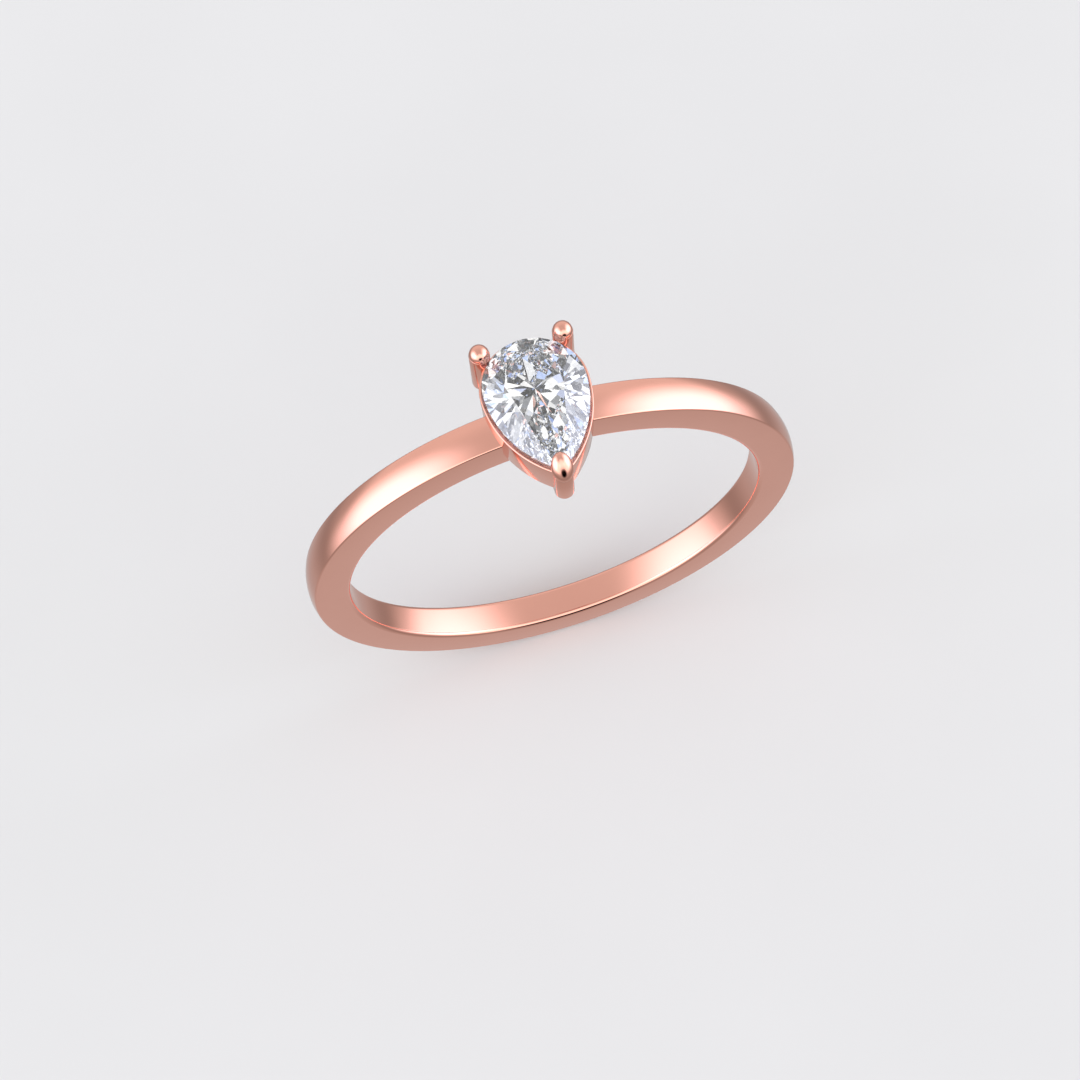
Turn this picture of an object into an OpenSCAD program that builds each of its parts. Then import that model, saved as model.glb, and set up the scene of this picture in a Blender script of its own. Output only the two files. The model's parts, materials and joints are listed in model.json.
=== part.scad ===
// Solitaire engagement ring: a slim domed band carries a pear-cut diamond in a
// collet, held by two round prongs at the stone's head and one at its point.
// The origin is the centre of the bore. +Y runs along the finger towards the
// stone's rounded head, and +Z runs up through the stone.

/* [Band] */
// Inside diameter of the band, which is its finger size
bore_d = 17.35; // [15.7:0.05:19.8]
// Width of the band along the finger
band_w = 1.45; // [1.3:0.05:1.7]
// Radial thickness of the band at its flat sides
band_t = 1.5; // [1.4:0.05:1.8]
// Extra height of the domed outside at its middle
band_crown = 0.14; // [0.08:0.02:0.2]
// Radius of the two eased edges inside the bore
bore_round = 0.2; // [0.1:0.05:0.3]

/* [Diamond] */
// Width of the stone across its belly
stone_w = 3.9; // [3.6:0.1:4.2]
// Length of the stone from its rounded head to its point
stone_l = 5.55; // [5.4:0.05:6]
// Height of the crown above the girdle, as a share of the width
crown_share = 0.14; // [0.12:0.01:0.16]
// Depth of the pavilion below the girdle, as a share of the width
pavilion_share = 0.41; // [0.38:0.01:0.42]
// Width of the flat table, as a share of the whole width
table_share = 0.58; // [0.54:0.01:0.62]
// Thickness of the girdle where the main facets meet it
girdle_t = 0.12; // [0.1:0.01:0.16]

/* [Collet] */
// Height of the middle of the girdle above the top of the band
girdle_rise = 0.75; // [0.7:0.05:0.9]
// How far the collet's outside stands out from the stone's outline
collet_grow = 0.13; // [0.11:0.01:0.16]
// How far the collet's rim lies below the middle of the girdle
rim_drop = 0.18; // [0.14:0.02:0.22]
// Height of the collet from its foot, let into the band, to its rim
collet_h = 1.52; // [1.5:0.02:1.6]
// Width of the seat under the stone, inwards from its outline
seat_w = 0.3; // [0.25:0.05:0.35]

/* [Prongs] */
// Diameter of the two round prongs at the stone's head
prong_d = 0.8; // [0.76:0.02:0.86]
// Gap between the stone's outline and the round prongs
prong_gap = 0.02; // [0.01:0.01:0.04]
// Angle of the round prongs from the line across the belly
prong_turn = 47; // [42:1:55]
// Height of the foot of each round prong's dome above the girdle
prong_rise = 0.25; // [0.15:0.05:0.4]
// Width of the prong at the stone's point
point_prong_w = 0.76; // [0.7:0.02:0.8]
// How far all three prongs reach below the collet's foot
prong_drop = 0.25; // [0.15:0.05:0.35]

/* [Hidden] */
$fn = 96;
rose_gold = [0.86, 0.58, 0.48];
clear_white = [0.92, 0.95, 1];

bore_r = bore_d / 2;
band_r = bore_r + band_t + band_crown;
crown_r = (band_w * band_w / 4 + band_crown * band_crown) / (2 * band_crown);

// The stone's outline: a half circle for the head, and two long arcs that
// leave it smoothly at the belly and meet at the point.
half_w = stone_w / 2;
tail_l = stone_l - half_w;
wing_r = (tail_l * tail_l + half_w * half_w) / stone_w;
belly_y = stone_l / 2 - half_w;
point_turn = asin(tail_l / wing_r);
girdle_z = band_r + girdle_rise;
crown_h = crown_share * stone_w;
pavilion_h = pavilion_share * stone_w;
far = 3 * stone_l;

rim_z = girdle_z - rim_drop;
foot_z = rim_z - collet_h;
clearance = 0.01;
seat_drop = girdle_t / 2 + 1.1 * seat_w * pavilion_h / half_w;

prong_r = prong_d / 2;
prong_foot_z = foot_z - prong_drop;
prong_reach = half_w + prong_gap + prong_r;
foot_round = 0.1;
dome_sink = 0.02;

// The prong at the point: an oval wire whose tall dome leans back over the
// stone. Its foot ring sits below the girdle. Seen from the front, the dome is
// an arch of two long arcs that run smoothly into a round top.
point_r = point_prong_w / 2;
point_front_y = -stone_l / 2 + 0.06;
point_oval = 0.18;
point_ring_z = girdle_z - 0.6;
point_arch_r = 2.5;
point_top_r = 0.3;
point_slope_r = 0.98;
point_arch_x = point_arch_r - point_r - clearance;
point_top_z = sqrt(pow(point_arch_r - point_top_r, 2) - pow(point_arch_x, 2));
point_touch_z = point_top_z * point_arch_r / (point_arch_r - point_top_r);

// Sixteen stations round the outline, seen from the stone's own centre. Each
// is the direction of the outline's normal and the point it belongs to. Even
// ones carry the main facets, and odd ones lie between them.
head_step = 22.5;
wing_step = point_turn / 4;
right_stations = [
    for (i = [0:4]) [90 - head_step * i, half_w * [sin(head_step * i), cos(head_step * i)]],
    for (i = [1:3]) [-wing_step * i, wing_point(wing_step * i)],
    [-90, [0, -tail_l]]
];
left_stations = [for (i = [7:-1:1]) mirrored(right_stations[i])];
stations = concat(right_stations, left_stations);
count = len(stations);
star_share = 0.5;
half_lift = 0.012;
lower_share = 0.77;

function wing_point(a) = [half_w - wing_r * (1 - cos(a)), -wing_r * sin(a)];
function mirrored(s) = [180 - s[0], [-s[1][0], s[1][1]]];
function turn_at(i) = stations[i % count][0];
function outline_at(i) = stations[i % count][1];
function reach_at(i) = outline_at(i) * [cos(turn_at(i)), sin(turn_at(i))];

// Where two neighbouring main facets meet, once both have moved inwards by a
// share of their distance from the centre.
function meet(i, share) =
    let (a = turn_at(i), b = turn_at(i + 2))
    let (p = reach_at(i) * (1 - share), q = reach_at(i + 2) * (1 - share))
    [p * sin(b) - q * sin(a), q * cos(a) - p * cos(b)] / sin(b - a);

function at_height(p, z) = [p[0], p[1], z];
// The side that keeps the stone's centre is the one behind the plane.
function facing_out(p, n) = n * p < 0 ? -n : n;
function plane_of(a, b, c) = [a, facing_out(a, cross(b - a, c - a))];

// Everything behind the plane through p with normal n
module behind(p, n) {
    translate(p)
        rotate([0, acos(n[2] / norm(n)), atan2(n[1], n[0])])
            translate([-far, -far, -2 * far])
                cube(2 * far);
}

module pear_outline(grow) {
    intersection() {
        translate([0, belly_y]) circle(r = half_w + grow);
        translate([-far, belly_y]) square([2 * far, far]);
    }
    intersection() {
        translate([half_w - wing_r, belly_y]) circle(r = wing_r + grow);
        translate([wing_r - half_w, belly_y]) circle(r = wing_r + grow);
        translate([-far, belly_y - far]) square([2 * far, far]);
    }
}

module pear_block(grow, low, high) {
    translate([0, 0, low])
        linear_extrude(height = high - low) pear_outline(grow);
}

module band_profile() {
    difference() {
        intersection() {
            translate([bore_r, -band_w / 2]) square([band_t + band_crown, band_w]);
            translate([band_r - crown_r, 0]) circle(r = crown_r);
        }
        for (side = [-1, 1]) difference() {
            translate([bore_r, side * band_w / 2])
                square([2 * bore_round, 2 * bore_round], center = true);
            translate([bore_r + bore_round, side * (band_w / 2 - bore_round)])
                circle(r = bore_round);
        }
    }
}

module shank() {
    color(rose_gold) difference() {
        rotate([90, 0, 0]) rotate_extrude() band_profile();
        pear_block(collet_grow, foot_z, rim_z);
    }
}

module collet() {
    color(rose_gold) difference() {
        pear_block(collet_grow, foot_z, rim_z);
        pear_block(clearance, girdle_z - seat_drop, girdle_z);
        pear_block(-seat_w, foot_z - 1, rim_z);
    }
}

// Half section of a round prong, with its foot eased and its top domed
module prong_profile(h) {
    intersection() {
        square([prong_r, h + prong_d]);
        union() {
            square([prong_r, h]);
            translate([0, h - dome_sink]) circle(r = norm([prong_r, dome_sink]));
        }
        union() {
            translate([0, foot_round]) square([prong_r, h + prong_d]);
            square([prong_r - foot_round, h]);
            translate([prong_r - foot_round, foot_round]) circle(r = foot_round);
        }
    }
}

module round_prong(side) {
    turn = 90 - side * (90 - prong_turn);
    difference() {
        translate([prong_reach * cos(turn), belly_y + prong_reach * sin(turn), prong_foot_z])
            rotate_extrude() prong_profile(girdle_z + prong_rise - prong_foot_z);
        pear_block(collet_grow, foot_z, rim_z);
    }
}

module prong_left() {
    color(rose_gold) round_prong(-1);
}

module prong_right() {
    color(rose_gold) round_prong(1);
}

module point_prong_outline() {
    for (y = [0, point_oval]) translate([0, point_front_y + y]) circle(r = point_r);
    translate([-point_r, point_front_y]) square([point_prong_w, point_oval]);
}

module point_dome_arch() {
    intersection() {
        translate([point_arch_x, 0]) circle(r = point_arch_r);
        translate([-point_arch_x, 0]) circle(r = point_arch_r);
        union() {
            translate([-point_prong_w, 0]) square([2 * point_prong_w, point_touch_z]);
            translate([0, point_top_z]) circle(r = point_top_r);
        }
    }
}

module point_prong_wire() {
    translate([0, 0, prong_foot_z])
        linear_extrude(height = point_ring_z - prong_foot_z) point_prong_outline();
    translate([0, 0, point_ring_z]) intersection() {
        linear_extrude(height = point_slope_r) point_prong_outline();
        rotate([90, 0, 0]) linear_extrude(height = far, center = true) point_dome_arch();
        translate([0, point_front_y - point_r - clearance + point_slope_r, 0])
            rotate([0, 90, 0]) cylinder(r = point_slope_r, h = far, center = true);
    }
}

module prong_point() {
    color(rose_gold) difference() {
        point_prong_wire();
        pear_block(collet_grow, foot_z, girdle_z);
        stone();
    }
}

module stone() {
    translate([0, belly_y, girdle_z]) intersection() {
        translate([0, -belly_y, 0]) pear_block(0, -pavilion_h - girdle_t, crown_h + girdle_t);
        intersection_for (z_side = [1, -1]) cut_facets(z_side);
    }
}

module cut_facets(up) {
    edge_z = up * girdle_t / 2;
    tall = up > 0 ? crown_h : pavilion_h;
    inset = up > 0 ? 1 - table_share : 1;
    share = up > 0 ? star_share : lower_share;
    meet_z = edge_z + up * tall * share;
    intersection() {
        intersection_for (i = [0:2:count - 1])
            behind(at_height(outline_at(i), edge_z),
                [tall * cos(turn_at(i)), tall * sin(turn_at(i)), up * inset * reach_at(i)]);
        intersection_for (i = [0:2:count - 1], half = [0, 1]) {
            tip = at_height(meet(i, inset * share), meet_z);
            low_z = edge_z + up * half_lift;
            facet = plane_of(tip, at_height(outline_at(i + half), low_z),
                at_height(outline_at(i + half + 1), low_z));
            behind(facet[0], facet[1]);
        }
        if (up > 0) intersection_for (i = [0:2:count - 1]) {
            top_z = edge_z + tall;
            star = plane_of(at_height(meet(i, inset * share), meet_z),
                at_height(table_share * outline_at(i), top_z),
                at_height(table_share * outline_at(i + 2), top_z));
            behind(star[0], star[1]);
        }
        if (up > 0) behind([0, 0, edge_z + tall], [0, 0, 1]);
    }
}

module diamond() {
    color(clear_white) stone();
}

shank();
collet();
prong_left();
prong_right();
prong_point();
diamond();
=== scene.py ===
import json
from math import acos, asin, atan2, cos, degrees, pi, radians, sin, sqrt

import bmesh
import bpy
from mathutils import Matrix, Vector


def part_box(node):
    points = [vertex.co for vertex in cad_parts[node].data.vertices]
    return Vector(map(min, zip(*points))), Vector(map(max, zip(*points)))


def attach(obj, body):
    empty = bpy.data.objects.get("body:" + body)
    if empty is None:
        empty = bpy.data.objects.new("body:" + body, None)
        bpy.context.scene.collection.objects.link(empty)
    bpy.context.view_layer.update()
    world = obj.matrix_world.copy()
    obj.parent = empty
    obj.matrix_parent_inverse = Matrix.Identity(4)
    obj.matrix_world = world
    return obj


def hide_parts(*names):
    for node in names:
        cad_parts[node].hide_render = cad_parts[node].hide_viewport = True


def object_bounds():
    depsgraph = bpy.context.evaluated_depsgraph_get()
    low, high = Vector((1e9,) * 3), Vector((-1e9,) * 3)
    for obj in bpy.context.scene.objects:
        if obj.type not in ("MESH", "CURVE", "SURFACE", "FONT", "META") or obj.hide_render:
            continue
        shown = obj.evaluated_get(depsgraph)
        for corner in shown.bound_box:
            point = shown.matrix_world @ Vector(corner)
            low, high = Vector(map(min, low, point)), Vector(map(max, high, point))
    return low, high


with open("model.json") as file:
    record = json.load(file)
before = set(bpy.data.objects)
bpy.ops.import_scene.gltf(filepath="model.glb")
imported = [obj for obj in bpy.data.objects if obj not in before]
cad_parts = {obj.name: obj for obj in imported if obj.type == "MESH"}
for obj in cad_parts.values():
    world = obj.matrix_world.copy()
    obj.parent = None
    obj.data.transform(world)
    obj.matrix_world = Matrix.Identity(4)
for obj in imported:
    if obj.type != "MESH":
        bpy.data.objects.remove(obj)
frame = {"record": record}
cad_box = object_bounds()

MM = 0.001


def node_box(node):
    """Lowest and highest corner of a CAD node, in millimetres."""
    low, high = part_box(node)
    return Vector(low) / MM, Vector(high) / MM


# ---------------------------------------------------------------- dimensions
# All in millimetres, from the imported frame. What no box shows is named here.
SHANK_LOW, SHANK_HIGH = node_box("shank")
COLLET_LOW, COLLET_HIGH = node_box("collet")
STONE_LOW, STONE_HIGH = node_box("diamond")

BORE_R = frame["record"]["mounts"][0]["dims"]["r_mm"]
BAND_W = SHANK_HIGH.y - SHANK_LOW.y
BAND_R = -SHANK_LOW.z
BAND_CROWN = 0.14
BORE_ROUND = 0.2
CREASE_ROUND = 0.09

# Heights and insets of the stone, as shares of its width.
CROWN_SHARE = 0.14
PAVILION_SHARE = 0.41
TABLE_SHARE = 0.58
# How far the star facets reach in, and the lower halves reach down.
STAR_SHARE = 0.5
LOWER_SHARE = 0.77
# Rise of the half facets' outer corners above the girdle's edge.
HALF_LIFT = 0.012

HALF_W = (STONE_HIGH.x - STONE_LOW.x) / 2
TAIL_L = STONE_HIGH.y - STONE_LOW.y - HALF_W
WING_R = (TAIL_L ** 2 + HALF_W ** 2) / (2 * HALF_W)
BELLY_Y = STONE_HIGH.y - HALF_W
CROWN_H = CROWN_SHARE * 2 * HALF_W
PAVILION_H = PAVILION_SHARE * 2 * HALF_W
GIRDLE_T = STONE_HIGH.z - STONE_LOW.z - CROWN_H - PAVILION_H
GIRDLE_Z = STONE_HIGH.z - CROWN_H - GIRDLE_T / 2

RIM_Z = COLLET_HIGH.z
FOOT_Z = COLLET_LOW.z
COLLET_GROW = COLLET_HIGH.x - HALF_W
COLLET_TAPER = 0.04
RIM_ROUND = 0.055
FOOT_ROUND = 0.05
SEAT_W = 0.3
SEAT_DROP = 0.18
SEAT_EDGE = 0.1
SEAT_EDGE_DROP = 0.02

PRONG_FOOT_ROUND = 0.1
# The two round prongs: the dome's height, the line where it meets the post,
# as (inwards, upwards), and the power that squares its shoulders.
DOME_H = 0.4
DOME_SEAM = [(0.0, -0.03), (0.004, -0.008), (0.014, 0.004)]
DOME_POWER = 0.96
# The point prong: how deep its slant starts below the girdle, the slant's rise
# for each millimetre, how much longer its back half is, and its dome.
POINT_RING_DROP = 0.42
POINT_SLANT = 0.64
POINT_OVAL = 0.18
POINT_DOME_GROW = 0.03
POINT_DOME_L = 0.94
POINT_DOME_H = 0.45
# The seam under that dome: (share of the outline, upwards) for neck and lip.
POINT_NECK = (0.99, -0.02)
POINT_LIP = (0.985, -0.006)
POINT_DOME_LIFT = 0.01
# Gap that is left between the point prong and the stone.
NOTCH_GAP = 0.012

# Mesh steps: round the band, under the collet, and round the stone's outline.
TURN_STEPS = 360
UNDER_STEPS = 16
DOME_SECTION_STEPS = 14
HEAD_STEPS = 64
WING_STEPS = 56
WIRE_SIDES = 72
ROUND_DOME_STEPS = 20
POINT_DOME_STEPS = 24
SMALL_ARC_STEPS = 8
BORE_ARC_STEPS = 10
FOOT_ARC_STEPS = 6
COLLET_FOOT_STEPS = 4
WELD = 1e-5
STONE_WELD = 1e-4

# Edges sharper than this many degrees stay sharp.
SHARP = 35
FACET_SHARP = 0.4

# ----------------------------------------------------------- colours and light
GOLD_COLOURS = [(0.0, (0.90, 0.445, 0.345)), (1.0, (0.93, 0.465, 0.360))]
GOLD_COLOUR_SCALE = 900
GOLD_ROUGH_SCALE = 4000
GOLD_ROUGH_SPREAD = 0.05
GOLD_BUMP_SCALE = 1500
GOLD_BUMP_STRENGTH = 0.02
GOLD_BUMP_DEPTH = 0.00002
BAND_ROUGHNESS = 0.06
SETTING_ROUGHNESS = 0.085

# Painted flashes: a faint blue on some facets, picked by each facet's direction, stands in
# for the coloured light of dispersion.
STONE_PAINTED_FLASH_COLOURS = [(0.35, (0.96, 0.975, 1.0)), (0.65, (1.0, 1.0, 1.0))]
STONE_FLASH_SCALE = 3.1
DIAMOND_IOR = 2.417

FLOOR_COLOURS = [(0.0, (0.62, 0.615, 0.595)), (1.0, (0.66, 0.655, 0.635))]
FLOOR_SCALE = 60
FLOOR_ROUGHNESS = 0.45
FLOOR_HALF = 600

SURFACE_DETAIL = 3.0
CLOUD_DETAIL = 2.0

# Brightness of the studio by height: -1 is straight down, 1 straight up.
SKY_LEVELS = [(-1.0, 0.62), (-0.78, 0.5), (-0.5, 0.36), (-0.25, 0.5),
              (0.05, 0.86), (0.5, 0.85), (1.0, 0.72)]
# Soft lights: the direction, and the degrees from it where it starts to fade
# and where it ends. The dark front is a fade of the sky, written alike.
SIDE_LIGHTS = [((-0.94, -0.06, 0.30), 10, 55), ((0.94, -0.06, 0.30), 10, 55)]
NEAR_LIGHTS = [((0.0, -0.72, 0.70), 5, 38), ((-0.65, -0.65, 0.38), 12, 38),
               ((0.65, -0.65, 0.38), 12, 38)]
DARK_FRONT = ((0.03, -1.0, 0.03), 11, 27)
SIDE_STRENGTH = 1.5
NEAR_STRENGTH = 0.9
SKY_TINT = (1.0, 1.0, 1.0)
SIDE_TINT = (0.98, 1.0, 1.17)

# Panels of the tent that lights the stone: black, grey, white, then blue ones.
TENT_COLOURS = [(0.0, (0.0, 0.0, 0.0)), (0.29, (0.015, 0.015, 0.015)),
                (0.45, (0.14, 0.145, 0.15)), (0.56, (0.44, 0.45, 0.47)),
                (0.66, (1.10, 1.10, 1.10)), (0.86, (1.40, 1.38, 1.34)),
                (0.90, (0.28, 0.42, 0.95)), (1.0, (0.7, 0.85, 1.2))]
TENT_SCALE = 3.6
CLOUD_SCALE = 5.0
CLOUD_RANGE = (0.35, 1.65)

MAX_BOUNCES = 32
STONE_BOUNCES = 24

# ------------------------------------------------------------------- camera
# Angles in degrees, lengths in millimetres.
CAMERA_AZIMUTH = -11.40
CAMERA_ELEVATION = 66.92
CAMERA_ROLL = -5.99
CAMERA_AIM = (-0.66, -0.44, -0.24)
CAMERA_DISTANCE = 99.63
CAMERA_SENSOR = 36
CAMERA_LENS = 81.13
CAMERA_CLIP = (0.001, 10)


# ------------------------------------------------------------------- meshes
def new_object(name, bm, sharp=SHARP):
    """A mesh object from millimetre geometry, smooth but for its sharp edges."""
    bmesh.ops.recalc_face_normals(bm, faces=bm.faces)
    for v in bm.verts:
        v.co *= MM
    for face in bm.faces:
        face.smooth = True
    for edge in bm.edges:
        if len(edge.link_faces) == 2 and edge.calc_face_angle(0) > radians(sharp):
            edge.smooth = False
    mesh = bpy.data.meshes.new(name)
    bm.to_mesh(mesh)
    bm.free()
    obj = bpy.data.objects.new(name, mesh)
    bpy.context.scene.collection.objects.link(obj)
    return obj


def weight_normals(obj):
    """Lets broad flat faces keep their own normals beside small rounds."""
    mod = obj.modifiers.new("weighted", "WEIGHTED_NORMAL")
    mod.mode = "FACE_AREA"
    mod.weight = 50
    mod.keep_sharp = True


def bridge_rings(bm, rings, closed):
    """Quads between neighbouring rings of vertices; closed joins last to first."""
    pairs = list(zip(rings, rings[1:]))
    if closed:
        pairs.append((rings[-1], rings[0]))
    for a, b in pairs:
        n = len(a)
        for i in range(n):
            bm.faces.new((a[i], a[(i + 1) % n], b[(i + 1) % n], b[i]))


def wire_mesh(levels, tip):
    """A closed post: a flat foot, one loop of points for each level, and a tip."""
    bm = bmesh.new()
    rings = [[bm.verts.new(point) for point in level] for level in levels]
    bridge_rings(bm, rings, False)
    bm.faces.new(rings[0])
    top = bm.verts.new(tip)
    last = rings[-1]
    for i in range(len(last)):
        bm.faces.new((last[i], last[(i + 1) % len(last)], top))
    return bm


def arc(cx, cy, r, start, end, steps):
    """Points on an arc, from start to end in degrees, both included."""
    out = []
    for i in range(steps + 1):
        a = radians(start + (end - start) * i / steps)
        out.append((cx + r * cos(a), cy + r * sin(a)))
    return out


# -------------------------------------------------------------------- shank
def band_profile():
    """Closed loop of (radius, y) round the band's section."""
    half = BAND_W / 2
    dome_r = (half ** 2 + BAND_CROWN ** 2) / (2 * BAND_CROWN)
    dome_c = BAND_R - dome_r
    crease_y = half - CREASE_ROUND
    crease_c = dome_c + sqrt((dome_r - CREASE_ROUND) ** 2 - crease_y ** 2)
    lean = atan2(crease_y, crease_c - dome_c)
    lean_deg = degrees(lean)
    dome = []
    for i in range(1, DOME_SECTION_STEPS):
        a = -lean + 2 * lean * i / DOME_SECTION_STEPS
        dome.append((dome_c + dome_r * cos(a), dome_r * sin(a)))
    bore_c = BORE_R + BORE_ROUND
    upper_crease = arc(crease_c, crease_y, CREASE_ROUND, lean_deg, 90, SMALL_ARC_STEPS)
    lower_crease = arc(crease_c, -crease_y, CREASE_ROUND, 270, 360 - lean_deg,
                       SMALL_ARC_STEPS)
    upper_round = arc(bore_c, half - BORE_ROUND, BORE_ROUND, 90, 180, BORE_ARC_STEPS)
    lower_round = arc(bore_c, BORE_ROUND - half, BORE_ROUND, 180, 270, BORE_ARC_STEPS)
    return dome + upper_crease + upper_round + lower_round + lower_crease


def make_shank():
    """The band. Under the collet its top is cut flat at the collet's foot."""
    profile = band_profile()
    half_cut = asin((HALF_W - SEAT_W / 2) / BAND_R)
    open_turn = 2 * pi - 2 * half_cut
    sections = [(half_cut + open_turn * i / TURN_STEPS, False) for i in range(TURN_STEPS + 1)]
    sections += [(-half_cut + 2 * half_cut * i / UNDER_STEPS, True)
                 for i in range(UNDER_STEPS + 1)]
    bm = bmesh.new()
    rings = []
    for a, cut in sections:
        ring = []
        for r, y in profile:
            if cut:
                r = min(r, FOOT_Z / cos(a))
            ring.append(bm.verts.new((r * sin(a), y, r * cos(a))))
        rings.append(ring)
    bridge_rings(bm, rings, True)
    bmesh.ops.remove_doubles(bm, verts=bm.verts, dist=WELD)
    bmesh.ops.dissolve_degenerate(bm, edges=bm.edges, dist=WELD)
    obj = new_object("band", bm)
    weight_normals(obj)
    return obj


# ------------------------------------------------------------------- collet
def pear_points(grow):
    """The stone's outline moved outwards by grow, anticlockwise from the point."""
    reach = WING_R + grow
    tip = acos((WING_R - HALF_W) / reach)
    points = [(0, BELLY_Y - reach * sin(tip))]
    for i in range(1, WING_STEPS):
        a = tip * (1 - i / WING_STEPS)
        points.append((HALF_W - WING_R + reach * cos(a), BELLY_Y - reach * sin(a)))
    for i in range(HEAD_STEPS + 1):
        a = pi * i / HEAD_STEPS
        points.append(((HALF_W + grow) * cos(a), BELLY_Y + (HALF_W + grow) * sin(a)))
    for i in range(1, WING_STEPS):
        a = tip * i / WING_STEPS
        points.append((WING_R - HALF_W - reach * cos(a), BELLY_Y - reach * sin(a)))
    return points


def make_collet():
    """The pear-shaped tube, slightly narrower at its foot, with a rounded rim."""
    foot_grow = COLLET_GROW - COLLET_TAPER
    outer = arc(foot_grow - FOOT_ROUND, FOOT_Z + FOOT_ROUND, FOOT_ROUND, 270, 360,
                COLLET_FOOT_STEPS)
    rim = arc(COLLET_GROW - RIM_ROUND, RIM_Z - RIM_ROUND, RIM_ROUND, 0, 110,
              SMALL_ARC_STEPS)
    seat = [(-SEAT_EDGE, RIM_Z - SEAT_EDGE_DROP), (-SEAT_W, RIM_Z - SEAT_DROP),
            (-SEAT_W, FOOT_Z)]
    bm = bmesh.new()
    rings = []
    for grow, z in outer + rim + seat:
        rings.append([bm.verts.new((x, y, z)) for x, y in pear_points(grow)])
    bridge_rings(bm, rings, True)
    obj = new_object("collet_wall", bm)
    weight_normals(obj)
    return obj


# ------------------------------------------------------------------- prongs
WIRE_TURNS = [2 * pi * i / WIRE_SIDES for i in range(WIRE_SIDES)]


def foot_arc(r, low_z):
    """(radius, z) up the eased foot of a post of radius r."""
    return arc(r - PRONG_FOOT_ROUND, low_z + PRONG_FOOT_ROUND, PRONG_FOOT_ROUND, 270, 360,
               FOOT_ARC_STEPS)


def make_round_prong(name, node):
    """A round wire post with an eased foot and a tall domed top."""
    low, high = node_box(node)
    r = (high.y - low.y) / 2
    x = high.x - r if low.x + high.x > 0 else low.x + r
    y = (low.y + high.y) / 2
    ring_z = high.z - DOME_H
    inset, lift = DOME_SEAM[-1]
    profile = foot_arc(r, low.z) + [(r - inwards, ring_z + up) for inwards, up in DOME_SEAM]
    for i in range(1, ROUND_DOME_STEPS):
        a = pi / 2 * i / ROUND_DOME_STEPS
        profile.append(((r - inset) * cos(a) ** DOME_POWER,
                        ring_z + lift + (DOME_H - lift) * sin(a)))
    levels = [[(x + radius * cos(a), y + radius * sin(a), z) for a in WIRE_TURNS]
              for radius, z in profile]
    obj = new_object(name, wire_mesh(levels, (x, y, high.z)))
    weight_normals(obj)
    return obj


def make_point_prong():
    """The wire at the stone's point. Its top is cut on a slant that rises over
    the stone, and domed above the cut."""
    low, high = node_box("prong_point")
    r = (high.x - low.x) / 2
    front = low.y + r
    ring_z = GIRDLE_Z - POINT_RING_DROP
    dome_r = r + POINT_DOME_GROW
    half_l = POINT_DOME_L / 2
    middle = low.y + half_l

    def post(radius):
        return [(radius * cos(a), front + (POINT_OVAL if sin(a) > 0 else 0) + radius * sin(a))
                for a in WIRE_TURNS]

    def plan(share):
        return [(share * dome_r * cos(a), middle + share * half_l * sin(a))
                for a in WIRE_TURNS]

    def on_slant(points, rise):
        return [(x, y, ring_z + POINT_SLANT * (y - low.y) + rise) for x, y in points]

    levels = [[(x, y, z) for x, y in post(radius)] for radius, z in foot_arc(r, low.z)]
    neck_share, neck_rise = POINT_NECK
    lip_share, lip_rise = POINT_LIP
    levels.append(on_slant([(x * neck_share, y) for x, y in post(r)], neck_rise))
    levels.append(on_slant(plan(lip_share), lip_rise))
    for i in range(POINT_DOME_STEPS):
        a = pi / 2 * i / POINT_DOME_STEPS
        rise = POINT_DOME_LIFT + (POINT_DOME_H - POINT_DOME_LIFT) * sin(a)
        levels.append(on_slant(plan(cos(a)), rise))
    tip = on_slant([(0, middle)], POINT_DOME_H)[0]
    obj = new_object("point_wire", wire_mesh(levels, tip))
    notch(obj)
    weight_normals(obj)
    return obj


# ------------------------------------------------------------------ diamond
def stations():
    """Sixteen (direction of the normal, point) pairs round the outline, from the
    centre of its head. Even ones carry main facets."""
    right = []
    for i in range(5):
        a = radians(90 - 22.5 * i)
        right.append((a, Vector((HALF_W * cos(a), HALF_W * sin(a)))))
    turn = asin(TAIL_L / WING_R)
    for i in range(1, 4):
        a = turn * i / 4
        right.append((-a, Vector((HALF_W - WING_R * (1 - cos(a)), -WING_R * sin(a)))))
    right.append((-pi / 2, Vector((0, -TAIL_L))))
    left = [(pi - a, Vector((-p.x, p.y))) for a, p in right[7:0:-1]]
    return right + left


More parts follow.
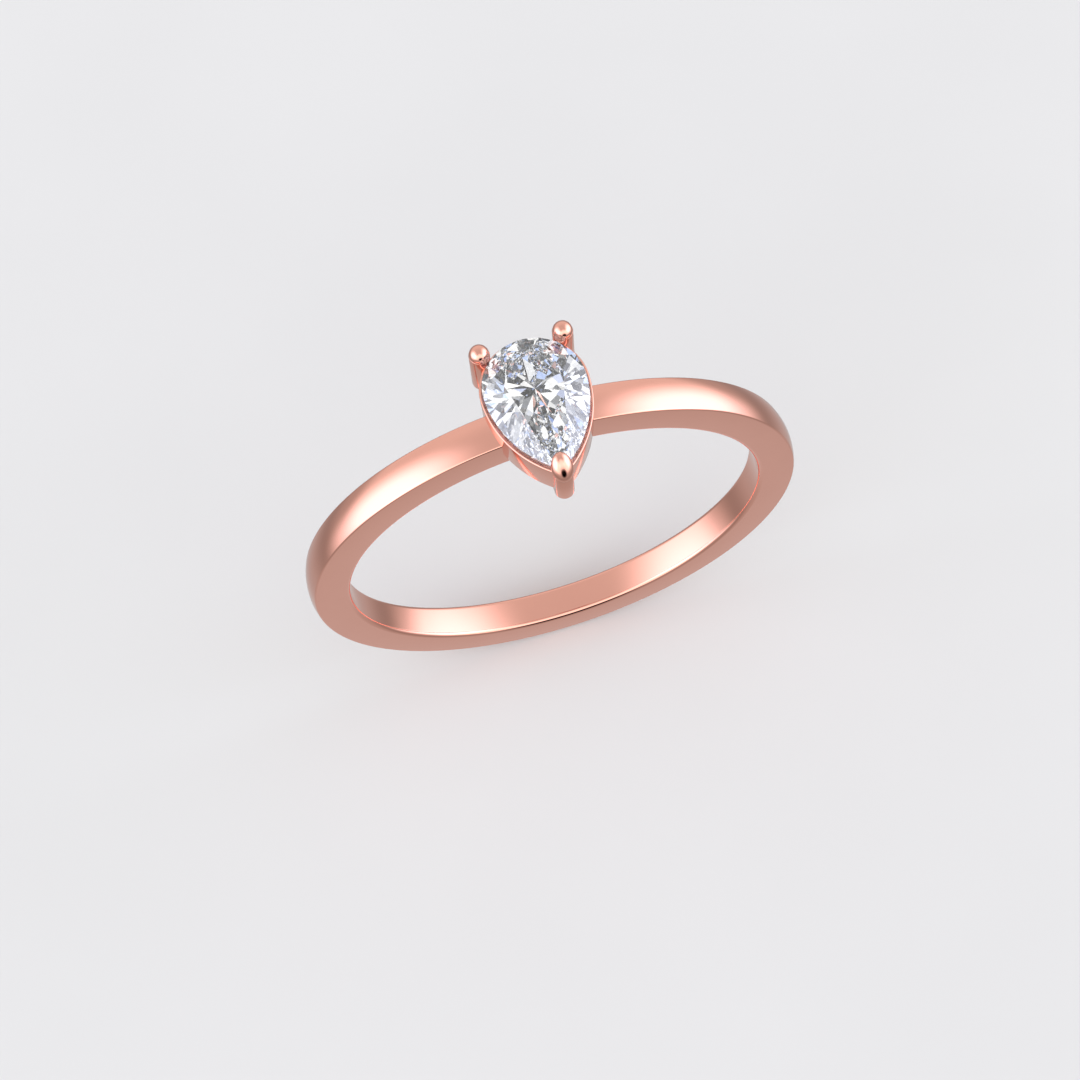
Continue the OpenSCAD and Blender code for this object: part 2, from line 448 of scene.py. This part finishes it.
def facet_planes():
    """(point, outward normal) of every facet, seen from the girdle's centre."""
    marks = stations()
    n = len(marks)

    def reach(i):
        a, p = marks[i % n]
        return p.x * cos(a) + p.y * sin(a)

    def meet(i, share):
        a, b = marks[i % n][0], marks[(i + 2) % n][0]
        p, q = reach(i) * (1 - share), reach(i + 2) * (1 - share)
        return Vector((p * sin(b) - q * sin(a), q * cos(a) - p * cos(b))) / sin(b - a)

    def raised(p, z):
        return Vector((p.x, p.y, z))

    def through(a, b, c):
        normal = (b - a).cross(c - a).normalized()
        return a, normal if normal.dot(a) > 0 else -normal

    planes = []
    for up, tall, inset, share in ((1, CROWN_H, 1 - TABLE_SHARE, STAR_SHARE),
                                   (-1, PAVILION_H, 1.0, LOWER_SHARE)):
        edge_z = up * GIRDLE_T / 2
        for i in range(0, n, 2):
            a, p = marks[i]
            normal = Vector((tall * cos(a), tall * sin(a), up * inset * reach(i)))
            planes.append((raised(p, edge_z), normal.normalized()))
            tip = raised(meet(i, inset * share), edge_z + up * tall * share)
            for half in (0, 1):
                low_z = edge_z + up * HALF_LIFT
                planes.append(through(tip, raised(marks[(i + half) % n][1], low_z),
                                      raised(marks[(i + half + 1) % n][1], low_z)))
            if up > 0:
                top_z = edge_z + tall
                planes.append(through(tip, raised(TABLE_SHARE * p, top_z),
                                      raised(TABLE_SHARE * marks[(i + 2) % n][1], top_z)))
    planes.append((Vector((0, 0, GIRDLE_T / 2 + CROWN_H)), Vector((0, 0, 1))))
    return planes


def cut_stone(grow):
    """A prism of the outline with every facet cut flat across it. All its
    surfaces are moved outwards by grow."""
    bm = bmesh.new()
    outline = pear_points(grow)
    low = [bm.verts.new((x, y, GIRDLE_Z - PAVILION_H - 1)) for x, y in outline]
    high = [bm.verts.new((x, y, GIRDLE_Z + CROWN_H + 1)) for x, y in outline]
    bridge_rings(bm, [low, high], False)
    bm.faces.new(low)
    bm.faces.new(high)
    bmesh.ops.recalc_face_normals(bm, faces=bm.faces)
    centre = Vector((0, BELLY_Y, GIRDLE_Z))
    for point, normal in facet_planes():
        bmesh.ops.bisect_plane(bm, geom=bm.verts[:] + bm.edges[:] + bm.faces[:], dist=WELD,
                               plane_co=centre + point + grow * normal, plane_no=normal,
                               clear_outer=True)
        bmesh.ops.holes_fill(bm, edges=[e for e in bm.edges if e.is_boundary], sides=0)
    bmesh.ops.remove_doubles(bm, verts=bm.verts, dist=STONE_WELD)
    bmesh.ops.dissolve_degenerate(bm, edges=bm.edges, dist=STONE_WELD)
    return bm


def make_diamond():
    """The stone, with every edge between two facets kept sharp."""
    return new_object("brilliant", cut_stone(0), sharp=FACET_SHARP)


def notch(piece):
    """Cuts a piece back to a hair's breadth from the stone."""
    cutter = new_object("cutter", cut_stone(NOTCH_GAP))
    mod = piece.modifiers.new("notch", "BOOLEAN")
    mod.operation = "DIFFERENCE"
    mod.solver = "EXACT"
    mod.object = cutter
    view = bpy.context.evaluated_depsgraph_get()
    piece.data = bpy.data.meshes.new_from_object(piece.evaluated_get(view))
    piece.modifiers.clear()
    bpy.data.objects.remove(cutter)


# -------------------------------------------------------------------- nodes
def ramp_colour(tree, value, stops, interpolation="LINEAR"):
    """The colour that a value picks from stops of (place, (r, g, b))."""
    node = tree.nodes.new("ShaderNodeValToRGB")
    node.color_ramp.interpolation = interpolation
    elements = node.color_ramp.elements
    for i, (place, colour) in enumerate(stops):
        mark = elements[i] if i < 2 else elements.new(place)
        mark.position = place
        mark.color = colour + (1,)
    tree.links.new(value, node.inputs["Fac"])
    return node.outputs["Color"]


def noise(tree, vector, scale, detail):
    """Smooth noise over a vector, scale in cycles for each of its units."""
    tex = tree.nodes.new("ShaderNodeTexNoise")
    tex.inputs["Scale"].default_value = scale
    tex.inputs["Detail"].default_value = detail
    tree.links.new(vector, tex.inputs["Vector"])
    return tex.outputs["Fac"]


def ranged(tree, value, low, high, start=0.0, end=1.0, interpolation="LINEAR"):
    """Carries start to low and end to high, and stays between them."""
    node = tree.nodes.new("ShaderNodeMapRange")
    node.interpolation_type = interpolation
    node.inputs["From Min"].default_value = start
    node.inputs["From Max"].default_value = end
    node.inputs["To Min"].default_value = low
    node.inputs["To Max"].default_value = high
    tree.links.new(value, node.inputs["Value"])
    return node.outputs["Result"]


def math_node(tree, operation, a, b):
    """Arithmetic on two values. Each is a socket or a float."""
    node = tree.nodes.new("ShaderNodeMath")
    node.operation = operation
    for value, socket in ((a, node.inputs[0]), (b, node.inputs[1])):
        if isinstance(value, float):
            socket.default_value = value
        else:
            tree.links.new(value, socket)
    return node.outputs[0]


def scaled(tree, colour, factor):
    """A colour times a value."""
    node = tree.nodes.new("ShaderNodeVectorMath")
    node.operation = "SCALE"
    tree.links.new(colour, node.inputs[0])
    tree.links.new(factor, node.inputs["Scale"])
    return node.outputs[0]


def blend(tree, factor, first, second):
    """A mix of two colours. Each is a socket or a plain (r, g, b)."""
    node = tree.nodes.new("ShaderNodeMix")
    node.data_type = "RGBA"
    tree.links.new(factor, node.inputs["Factor"])
    for value, socket in ((first, node.inputs["A"]), (second, node.inputs["B"])):
        if isinstance(value, tuple):
            socket.default_value = value + (1,)
        else:
            tree.links.new(value, socket)
    return node.outputs["Result"]


# ---------------------------------------------------------------- materials
def material(name):
    """A new material, its node tree and its shader."""
    mat = bpy.data.materials.new(name)
    mat.use_nodes = True
    tree = mat.node_tree
    return mat, tree, tree.nodes["Principled BSDF"]


def surface_noise(tree, scale):
    """Noise in the object's own coordinates, scale in cycles per metre."""
    coords = tree.nodes.new("ShaderNodeTexCoord")
    return noise(tree, coords.outputs["Object"], scale, SURFACE_DETAIL)


def rose_gold(name, shine):
    """Polished rose gold: nearly a mirror, with faint unevenness of polish."""
    mat, tree, shader = material(name)
    shader.inputs["Metallic"].default_value = 1.0
    tint = ramp_colour(tree, surface_noise(tree, GOLD_COLOUR_SCALE), GOLD_COLOURS)
    tree.links.new(tint, shader.inputs["Base Color"])
    polish = ranged(tree, surface_noise(tree, GOLD_ROUGH_SCALE),
                    shine, shine + GOLD_ROUGH_SPREAD)
    tree.links.new(polish, shader.inputs["Roughness"])
    bump = tree.nodes.new("ShaderNodeBump")
    bump.inputs["Strength"].default_value = GOLD_BUMP_STRENGTH
    bump.inputs["Distance"].default_value = GOLD_BUMP_DEPTH
    tree.links.new(surface_noise(tree, GOLD_BUMP_SCALE), bump.inputs["Height"])
    tree.links.new(bump.outputs["Normal"], shader.inputs["Normal"])
    return mat


def clear_stone():
    """Colourless diamond; each facet carries a faint painted blue that stands in for the
    coloured flashes of dispersion.
    """
    mat, tree, shader = material("clear_stone")
    shader.inputs["Transmission Weight"].default_value = 1.0
    shader.inputs["IOR"].default_value = DIAMOND_IOR
    shader.inputs["Roughness"].default_value = 0.0
    # The facet's direction picks how much painted blue flash it carries.
    facing = tree.nodes.new("ShaderNodeNewGeometry").outputs["True Normal"]
    pick = noise(tree, facing, STONE_FLASH_SCALE, 0.0)
    tree.links.new(ramp_colour(tree, pick, STONE_PAINTED_FLASH_COLOURS), shader.inputs["Base Color"])
    return mat


def pale_floor():
    """A pale matt ground, very slightly uneven in tone."""
    mat, tree, shader = material("pale_floor")
    tone = ramp_colour(tree, surface_noise(tree, FLOOR_SCALE), FLOOR_COLOURS)
    tree.links.new(tone, shader.inputs["Base Color"])
    shader.inputs["Roughness"].default_value = FLOOR_ROUGHNESS
    return mat


# -------------------------------------------------------------------- stage
def sky_value(tree, height):
    """The sky's grey at a height from -1 to 1, eased between SKY_LEVELS."""
    stops = [((place + 1) / 2, (level, level, level)) for place, level in SKY_LEVELS]
    return ramp_colour(tree, ranged(tree, height, 0.0, 1.0, start=-1.0), stops, "EASE")


def soft_lobe(tree, coords, direction, inner, outer):
    """One where the sky's direction is within inner degrees, fading to zero."""
    dot = tree.nodes.new("ShaderNodeVectorMath")
    dot.operation = "DOT_PRODUCT"
    dot.inputs[1].default_value = Vector(direction).normalized()
    tree.links.new(coords, dot.inputs[0])
    angle = math_node(tree, "ARCCOSINE", dot.outputs["Value"], 0.0)
    return ranged(tree, angle, 0.0, 1.0, radians(outer), radians(inner), "SMOOTHERSTEP")


def lobes(tree, coords, lights):
    """Several soft lobes added up."""
    total = soft_lobe(tree, coords, *lights[0])
    for light in lights[1:]:
        total = math_node(tree, "ADD", total, soft_lobe(tree, coords, *light))
    return total


def light_tent(tree, coords):
    """What the stone alone is lit by: many small panels, bright, grey and blue,
    each a little uneven."""
    cells = tree.nodes.new("ShaderNodeTexVoronoi")
    cells.inputs["Scale"].default_value = TENT_SCALE
    tree.links.new(coords, cells.inputs["Vector"])
    pick = tree.nodes.new("ShaderNodeSeparateColor")
    tree.links.new(cells.outputs["Color"], pick.inputs[0])
    panels = ramp_colour(tree, pick.outputs[0], TENT_COLOURS)
    cloud = noise(tree, coords, CLOUD_SCALE, CLOUD_DETAIL)
    return scaled(tree, panels, ranged(tree, cloud, *CLOUD_RANGE))


def studio_world():
    """Broad soft lights at the sides and in front, a softer sky and a dark front.
    Rays that have passed through the stone meet the light tent instead."""
    world = bpy.data.worlds.new("studio")
    world.use_nodes = True
    tree = world.node_tree
    coords = tree.nodes.new("ShaderNodeTexCoord").outputs["Generated"]
    split = tree.nodes.new("ShaderNodeSeparateXYZ")
    tree.links.new(coords, split.inputs[0])
    sides = lobes(tree, coords, SIDE_LIGHTS)
    nears = lobes(tree, coords, NEAR_LIGHTS)
    glow = math_node(tree, "ADD", math_node(tree, "MULTIPLY", sides, SIDE_STRENGTH),
                     math_node(tree, "MULTIPLY", nears, NEAR_STRENGTH))
    lit = math_node(tree, "SUBTRACT", 1.0, soft_lobe(tree, coords, *DARK_FRONT))
    sky = math_node(tree, "MULTIPLY", sky_value(tree, split.outputs["Z"]), lit)
    tint = blend(tree, sides, SKY_TINT, SIDE_TINT)
    room = scaled(tree, tint, math_node(tree, "ADD", glow, sky))
    through_stone = tree.nodes.new("ShaderNodeLightPath").outputs["Is Transmission Ray"]
    seen = blend(tree, through_stone, room, light_tent(tree, coords))
    tree.links.new(seen, tree.nodes["Background"].inputs["Color"])
    bpy.context.scene.world = world


def make_floor():
    """The ground under the band, which neither the gold nor the stone shows."""
    bm = bmesh.new()
    z = cad_box[0][2] / MM
    corners = ((-1, -1), (1, -1), (1, 1), (-1, 1))
    bm.faces.new([bm.verts.new((x * FLOOR_HALF, y * FLOOR_HALF, z)) for x, y in corners])
    obj = new_object("floor", bm)
    obj.data.materials.append(pale_floor())
    obj.visible_glossy = False
    obj.visible_transmission = False


def make_camera():
    """Above and in front of the ring, a little to its left, slightly rolled."""
    turn = (Matrix.Rotation(radians(CAMERA_AZIMUTH), 4, "Z")
            @ Matrix.Rotation(radians(90 - CAMERA_ELEVATION), 4, "X")
            @ Matrix.Rotation(radians(CAMERA_ROLL), 4, "Z"))
    place = Vector(CAMERA_AIM) * MM + turn.to_3x3() @ Vector((0, 0, CAMERA_DISTANCE * MM))
    data = bpy.data.cameras.new("camera")
    data.sensor_width = CAMERA_SENSOR
    data.lens = CAMERA_LENS
    data.clip_start, data.clip_end = CAMERA_CLIP
    camera = bpy.data.objects.new("camera", data)
    camera.matrix_world = Matrix.Translation(place) @ turn
    bpy.context.scene.collection.objects.link(camera)
    bpy.context.scene.camera = camera


def settle_light_paths():
    """Plain tones, and enough bounces for light to find its way out of the stone."""
    scene = bpy.context.scene
    scene.view_settings.view_transform = "Standard"
    scene.cycles.max_bounces = MAX_BOUNCES
    scene.cycles.glossy_bounces = STONE_BOUNCES
    scene.cycles.transmission_bounces = STONE_BOUNCES


# ----------------------------------------------------------------- assembly
def put(piece, node, mat):
    """Gives a piece its finish, and stands it for its CAD node."""
    piece.data.materials.append(mat)
    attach(piece, "root")
    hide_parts(node)


make_camera()
studio_world()
make_floor()
settle_light_paths()

band_gold = rose_gold("band_gold", BAND_ROUGHNESS)
setting_gold = rose_gold("setting_gold", SETTING_ROUGHNESS)
band = make_shank()
put(band, "shank", band_gold)
collet = make_collet()
put(collet, "collet", setting_gold)
for wire, node in (("wire_left", "prong_left"), ("wire_right", "prong_right")):
    put(make_round_prong(wire, node), node, setting_gold)
point_wire = make_point_prong()
put(point_wire, "prong_point", setting_gold)
put(make_diamond(), "diamond", clear_stone())

# These don't show inside the stone, which stays clear.
for piece in (band, collet, point_wire):
    piece.visible_transmission = False
